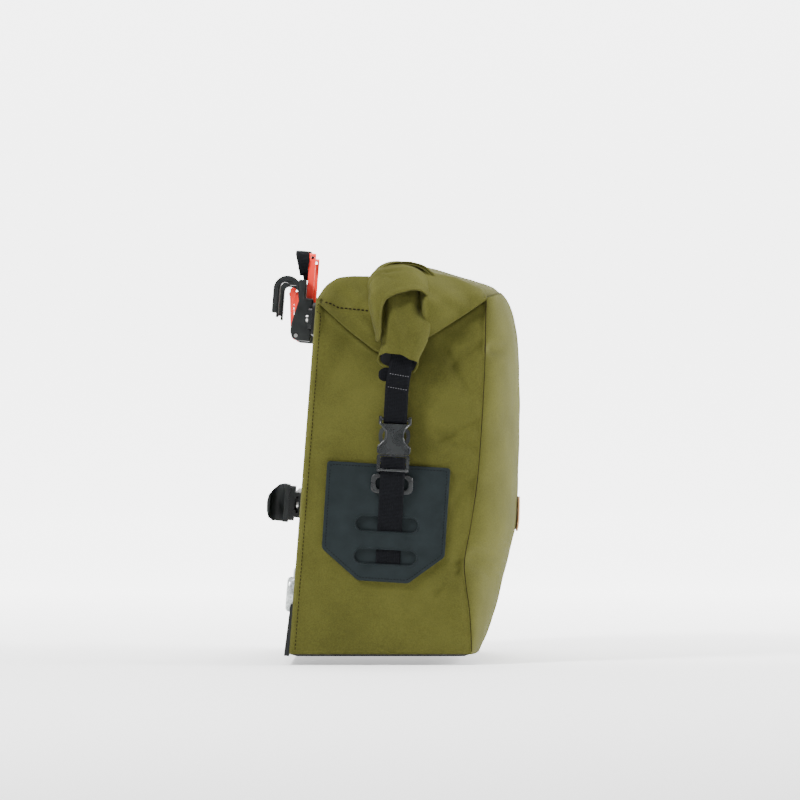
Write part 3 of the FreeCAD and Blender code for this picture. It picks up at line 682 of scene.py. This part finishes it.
def sleeve_painted_shade(side, tag):
    """Painted shade: a dark sheet inside the sleeve, closed at its far end, that stands in for the shadow
    in the sleeve's mouth.
    """
    grid = []
    for i in range(20):
        grow = lerp(-3.4, -4.6, i / 19) if i < 18 else -9.0 * (i - 17)
        row = []
        for turn in TURNS:
            q = mouth(turn) - 0.06 - 0.025 * i
            deep = hollow_at(q, turn) + 1.6 * float(smooth((0.8 - q) / 0.2))
            row.append(sleeve_point(q, turn, side, grow - deep, inner=True))
        grid.append(row)
    # the dark cloth here is painted shade in the sleeve's mouth
    made = grid_object(f"roll_end_painted_shade_{tag}", grid, BASE_CLOTH_AND_SHADE, wrap=True)
    finish_piece(made, "base_fabric", "bag")


# how far down its path the hood reaches: angle round the path in degrees, and share of the path
HOOD_TURNS = [0, 25, 45, 62, 80, 98, 113, 120, 128, 136, 145, 158, 180, 230, 300, 360]
HOOD_ENDS = [0.60, 0.53, 0.465, 0.445, 0.45, 0.475, 0.51, 0.56, 0.68, 0.76, 0.81, 0.84, 0.83, 0.5,
             0.5, 0.60]
HOOD_GROOVES = [(0.13, 1.8), (0.27, 1.6), (0.36, 0.8)]


def hood(side, tag):
    """Folded cloth that arches over the top of the sleeve and merges into the front flap."""
    grid = []
    for i in range(72):
        row = []
        for turn in TURNS:
            degrees = math.degrees(turn)
            q = float(np.interp(degrees, HOOD_TURNS, HOOD_ENDS)) * i / 71
            high = float(smooth((degrees - 15) / 55))
            far = float(smooth((degrees - 70) / 40))
            curl = 1.2 * float(smooth((i - 62) / 9)) * high
            groove = -0.9 * float(smooth((q - 0.13) / 0.03))
            for start, deep in HOOD_GROOVES:
                line = start + 0.07 * math.cos(turn) + 0.02 * math.sin(3 * turn + start * 30)
                groove += deep * math.exp(-((q - line) / 0.016) ** 2) * far
            sink = 4.5 * (1 - high) * float(degrees < 180)
            x, y, z = sleeve_point(q, turn, side, 1.6 + curl - groove - sink)
            x -= 8.0 * max(0.0, math.sin(turn)) ** 1.6 * (1 - float(smooth((q - 0.15) / 0.25)))
            row.append((x, y, z))
        grid.append(row)
    made = grid_object(f"roll_hood_{tag}", grid, OLIVE, thick=1.6, wrap=True)
    finish_piece(made, "shell_fabric", "bag")


for side, tag in ((-1, "left"), (1, "right")):
    sleeve(side, tag)
    sleeve_painted_shade(side, tag)
    hood(side, tag)


# ---- webbing ----------------------------------------------------------------------
def drift(z):
    """The upper strap leans a little forward where it enters the sleeve."""
    return 4.5 * float(smooth((z - 96) / 44))


def side_strap(name, path, width, thick, side, body, *hides):
    """path is (outward, up) from the strap ring, drawn down the middle of the strap."""
    curve = spline(path, 90)
    centre = [on_side(drift(z), y, z, side) for y, z in curve]
    lean = (math.cos(STRAP_LEAN), 0, -math.sin(STRAP_LEAN))
    made = ribbon(name, centre, [lean] * len(centre), width, thick, WEB)
    return finish_piece(made, "webbing", body, *hides)


def cross_stitch(name, z, side, body, outward, half=10.5, mat=THREAD_GREY):
    points = [on_side(x + drift(z), outward, z - 0.12 * x, side) for x in np.linspace(-half, half, 12)]
    made = stitches(name, points, mat, length=1.7, gap=0.9, radius=0.28)
    return finish_piece(made, "webbing", body)


for side, tag in ((-1, "left"), (1, "right")):
    body = f"closure_{tag}"
    upper = [(6.2, 66.0), (5.8, 70.5), (7.4, 77), (8.6, 84), (9.0, 96), (9.2, 118), (9.4, 138), (9.6, 158)]
    side_strap(f"strap_upper_web_{tag}", upper, 24.0, 1.3, side, body, f"strap_upper_{tag}")
    turn = [(6.2, 66.0), (6.9, 64.1), (9.0, 63.3), (11.1, 64.1), (11.9, 66.2), (12.2, 70.5), (11.2, 78),
            (10.6, 86), (10.5, 100), (10.6, 112)]
    side_strap(f"strap_loop_web_{tag}", turn, 24.0, 1.3, side, body)
    slack = [(10.5, 100.5), (12.6, 103), (13.2, 108), (12.4, 114), (11.6, 122), (11.0, 134)]
    side_strap(f"strap_slack_web_{tag}", slack, 23.0, 1.3, side, body)
    cross_stitch(f"strap_stitch_low_{tag}", 99.0, side, body, 11.4)
    cross_stitch(f"strap_stitch_high_{tag}", 112.5, side, body, 13.3)
    lower = [(12.6, 28.6), (12.5, 22), (12.1, 14), (11.2, 5), (10.4, -2), (10.2, -8), (8.6, -14),
             (6.2, -22), (5.7, -33), (4.2, -41), (2.2, -47), (2.1, -58), (2.1, -80)]
    side_strap(f"strap_lower_web_{tag}", lower, 25.0, 1.3, side, "bag", f"strap_lower_{tag}",
               f"anchor_webbing_{tag}")
    bar = [(-15.2, 10.5), (-14.8, 12.8), (-13, 14.2), (0, 14.4), (13, 14.2), (14.8, 12.8), (15.2, 10.5)]
    points = [on_side(x, y, 15.4, side) for x, y in spline(bar, 40)]
    finish_piece(tube(f"ladder_bar_{tag}", points, 1.35, BUCKLE), "buckle_plastic", "bag")
    for end, name in ((-1, "back"), (1, "front")):
        waist = [(16.0, 33.0), (16.0, 38.6), (12.6, 42.6), (9.3, 47.0), (8.7, 51.2), (9.3, 55.4),
                 (12.4, 59.8), (15.4, 63.2), (15.6, 69.0)]
        points = [on_side(end * x, 14.3, z, side) for x, z in spline(waist, 60)]
        finish_piece(tube(f"buckle_rim_{name}_{tag}", points, 0.95, BUCKLE), "buckle_plastic", body)
    tab = [(5.0, 106), (5.6, 108), (6.0, 111), (6.0, 114), (5.6, 117), (5.0, 119)]
    centre = [on_side(-12.5, y, z, side) for y, z in spline(tab, 16)]
    widths = [4, 8, 10.5, 12, 13, 13.6, 14, 14, 14, 14, 13.6, 13, 12, 10.5, 8, 4]
    made = ribbon(f"strap_tab_{tag}", centre, [(1, 0, 0)] * 16, widths, 2.6, WEB)
    finish_piece(made, "webbing", body)


# ---- slotted patch -----------------------------------------------------------------
def stadium(cx, cz, length, height, steps=14):
    r = height / 2
    half = length / 2 - r
    points = []
    for k in range(steps + 1):
        turn = -math.pi / 2 + math.pi * k / steps
        points.append((cx + half + r * math.cos(turn), cz + r * math.sin(turn)))
    for k in range(steps + 1):
        turn = math.pi / 2 + math.pi * k / steps
        points.append((cx - half + r * math.cos(turn), cz + r * math.sin(turn)))
    return points


def rounded_outline(points, radius, steps=5):
    out = []
    n = len(points)
    for i in range(n):
        p, q, r = (np.array(points[(i + k - 1) % n], float) for k in range(3))
        a = q + (p - q) / np.linalg.norm(p - q) * radius
        b = q + (r - q) / np.linalg.norm(r - q) * radius
        for k in range(steps + 1):
            t = k / steps
            out.append(tuple((1 - t) ** 2 * a + 2 * t * (1 - t) * q + t * t * b))
    return out


def plate(name, loops, low, high, bevel, side, mat):
    """A flat sheet with holes, from outline loops, standing on the side panel."""
    curve = bpy.data.curves.new(name, "CURVE")
    curve.dimensions = "2D"
    curve.fill_mode = "BOTH"
    curve.extrude = (high - low) / 2000 - bevel / 1000
    curve.bevel_depth = bevel / 1000
    curve.bevel_resolution = 2
    for loop in loops:
        line = curve.splines.new("POLY")
        line.points.add(len(loop) - 1)
        for point, (x, z) in zip(line.points, loop):
            point.co = (x / 1000, z / 1000, 0, 1)
        line.use_cyclic_u = True
    made = bpy.data.objects.new(name, curve)
    bpy.context.scene.collection.objects.link(made)
    bpy.context.view_layer.update()
    ready = made.evaluated_get(bpy.context.evaluated_depsgraph_get())
    mesh = bpy.data.meshes.new_from_object(ready)
    bpy.data.objects.remove(made)
    middle = (low + high) / 2
    for vert in mesh.vertices:
        x, z, h = (c * 1000 for c in vert.co)
        vert.co = Vector(on_side(x, middle + h, z, side)) / 1000
    mesh.materials.clear()
    mesh.materials.append(mat)
    solid = bpy.data.objects.new(name, mesh)
    bpy.context.scene.collection.objects.link(solid)
    return solid


PATCH_EDGE = [(-66.5, 21), (58.2, 20), (57, -70), (21.4, -98.6), (-29.6, -98), (-67.5, -67.5)]
for side, tag in ((-1, "left"), (1, "right")):
    edge = rounded_outline(PATCH_EDGE, 3.0)
    holes = [stadium(-3, -40, 64, 15.5), stadium(-3, -73.2, 64, 15.5)]
    sheet = plate(f"patch_sheet_{tag}", [edge] + holes, 1.2, 4.3, 0.5, side, PATCH)
    finish_piece(sheet, "patch_rubber", "bag", f"side_patch_{tag}")
    under = plate(f"patch_under_{tag}", [rounded_outline(PATCH_EDGE, 3.0)], 0.1, 1.1, 0.2, side, PATCH)
    finish_piece(under, "base_fabric", "bag", "patch_backings")
    for number, (cx, cz) in enumerate(((-3, -40), (-3, -73.2))):
        loop = stadium(cx, cz, 65.2, 16.7, 10)
        loop.append(loop[0])
        rim = tube(f"slot_rim_{number}_{tag}", [on_side(x, 4.3, z, side) for x, z in loop], 0.55, PATCH)
        finish_piece(rim, "patch_rubber", "bag")
    inner = rounded_outline([(x * 0.955 - 0.1, (z + 38) * 0.955 - 38) for x, z in PATCH_EDGE], 3.0)
    inner.append(inner[0])
    row = stitches(f"patch_stitching_{tag}", [on_side(x, 4.35, z, side) for x, z in inner], THREAD_BLACK,
                   length=2.0, gap=1.2, radius=0.3)
    finish_piece(row, "patch_rubber", "bag")


# ---- seams of the shell, with painted shade along the front seams --------------------
for side, tag in ((-1, "left"), (1, "right")):
    line = []
    for z in np.linspace(6, 350, 150):
        x = back_x(z) + 5.6
        line.append((x, side * (HALF - 0.35), z))
    for x, z in spline(TOP_SEAM[:3], 12):
        line.append((x, side * (HALF + 0.4), z))
    finish_piece(stitches(f"back_seam_{tag}", line, DARK_THREAD_AND_SEAM_SHADE), "webbing", "bag")
    # dark rod along the front seam: the seam is real, its dark line is painted shade in the seam's crease
    line = []
    for z in np.linspace(5, 364, 200):
        line.append((float(seam_x(z)) - 0.8, side * (HALF - 2.1), z))
    finish_piece(tube(f"front_seam_shade_{tag}", line, 0.55, DARK_THREAD_AND_SEAM_SHADE), "shell_fabric", "bag")


# ---- label ------------------------------------------------------------------------------
def label_grid():
    grid = []
    for i in range(30):
        z = lerp(125, 160, i / 29)
        row = []
        for j in range(40):
            y = lerp(-34, 34, j / 39)
            share = math.cos(math.asin(y / (HALF - 2.2))) ** 1.15
            x = float(seam_x(z)) - 1 + (float(bulge_x(z)) - float(seam_x(z)) + 1) * share
            row.append((x + 2.1, y, z))
        grid.append(row)
    return grid


label_points = label_grid()
label = grid_object("label_leather_patch", label_points, LEATHER, thick=1.8, flip=True)
finish_piece(label, "label_leather", "bag", "label_patch")


# ---- handle ---------------------------------------------------------------------------
def handle_piece():
    loop = [(84.5, 409.5), (83.6, 402), (84.6, 395), (90, 391.5), (95.2, 394.5), (96.6, 401), (96, 407),
            (90.5, 412.8), (76, 415.3)]
    path = [(-y, z) for y, z in loop] + [(0, 415.8)] + loop[::-1]
    curve = spline(path, 260)
    centre, widths = [], []
    for y, z in curve:
        drop = min(1.0, max(0.0, (412 - z) / 20))
        widths.append(lerp(15.5, 7.6, drop))
        centre.append(in_back(lerp(-18.3, -16.6, drop), y, z))
    across = [(math.cos(LEAN), 0, -math.sin(LEAN))] * len(centre)
    return ribbon("handle_webbing", centre, across, widths, 2.4, WEB)


handle = handle_piece()
finish_piece(handle, "webbing", "handle", "handle")

# ---- latch springs --------------------------------------------------------------------
def latch_coil(y, tag):
    """Steel coil between the housing and the latch."""
    start_x, start_z = SPRING_START
    steps = 32 * SPRING_TURNS
    coil = []
    for k in range(steps + 1):
        turn = 2 * math.pi * k / 32
        coil.append(in_back(start_x + SPRING_LENGTH * k / steps, y + SPRING_RADIUS * math.sin(turn),
                            start_z + SPRING_RADIUS * math.cos(turn)))
    made = tube(f"latch_coil_{tag}", coil, SPRING_WIRE, STEEL)
    finish_piece(made, "steel", "bag", f"latch_spring_{tag}")
    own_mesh(made)


latch_coil(-HOOK_Y, "left")
latch_coil(HOOK_Y, "right")

# ---- camera, floor and light ------------------------------------------------------------
camera_data = bpy.data.cameras.new("camera")
camera = bpy.data.objects.new("camera", camera_data)
bpy.context.scene.collection.objects.link(camera)
camera.location = (0.0163, -4.65, 0.262)
camera.rotation_euler = (math.pi / 2, 0, 0)
camera_data.lens = 198.5
camera_data.sensor_width = 36.0
camera_data.dof.use_dof = False
bpy.context.scene.camera = camera


def sweep():
    """Floor that curves up into a backdrop."""
    rows = []
    profile = [(-30.0, 0.0), (-6.0, 0.0), (3.5, 0.0), (5.0, 0.15), (5.9, 0.6), (6.3, 1.4), (6.4, 2.6),
               (6.4, 6.0)]
    for y, z in spline(profile, 80):
        rows.append([(x, y * 1000, z * 1000) for x in np.linspace(-30000, 30000, 12)])
    return grid_object("floor", rows, FLOOR)


def floor_material():
    """White paper that glows more the further back it is, so that it burns out to white."""
    mat, tree, shader = material("floor_white", (0.88, 0.88, 0.88), 0.9)
    coords = tree.nodes.new("ShaderNodeTexCoord")
    apart = tree.nodes.new("ShaderNodeSeparateXYZ")
    glow = node(tree, "ShaderNodeMapRange")
    for key, value in (("From Min", -0.2), ("From Max", 1.6), ("To Min", 0.42), ("To Max", 3.8)):
        glow.inputs[key].default_value = value
    tree.links.new(coords.outputs["Object"], apart.inputs["Vector"])
    tree.links.new(apart.outputs["Y"], glow.inputs["Value"])
    tree.links.new(glow.outputs["Result"], shader.inputs["Emission Strength"])
    shader.inputs["Emission Color"].default_value = (1, 1, 1, 1)
    return mat


FLOOR = floor_material()
floor = sweep()
for name, place, aim, size, power in (
        ("key", (-1.6, -1.2, 1.9), (0, 0, 0.2), 0.5, 125),
        ("top", (0.2, 0.1, 2.4), (0, 0, 0.2), 1.0, 60),
        ("side", (2.4, -0.25, 0.9), (0, 0, 0.2), 0.9, 125)):
    data = bpy.data.lights.new(name, "AREA")
    data.size = size
    data.energy = power
    lamp = bpy.data.objects.new(name, data)
    bpy.context.scene.collection.objects.link(lamp)
    lamp.location = place
    lamp.rotation_euler = (Vector(aim) - Vector(place)).to_track_quat("-Z", "Y").to_euler()
world = bpy.data.worlds.new("studio")
world.use_nodes = True
world.node_tree.nodes["Background"].inputs["Color"].default_value = (1, 1, 1, 1)
world.node_tree.nodes["Background"].inputs["Strength"].default_value = 0.14
bpy.context.scene.world = world
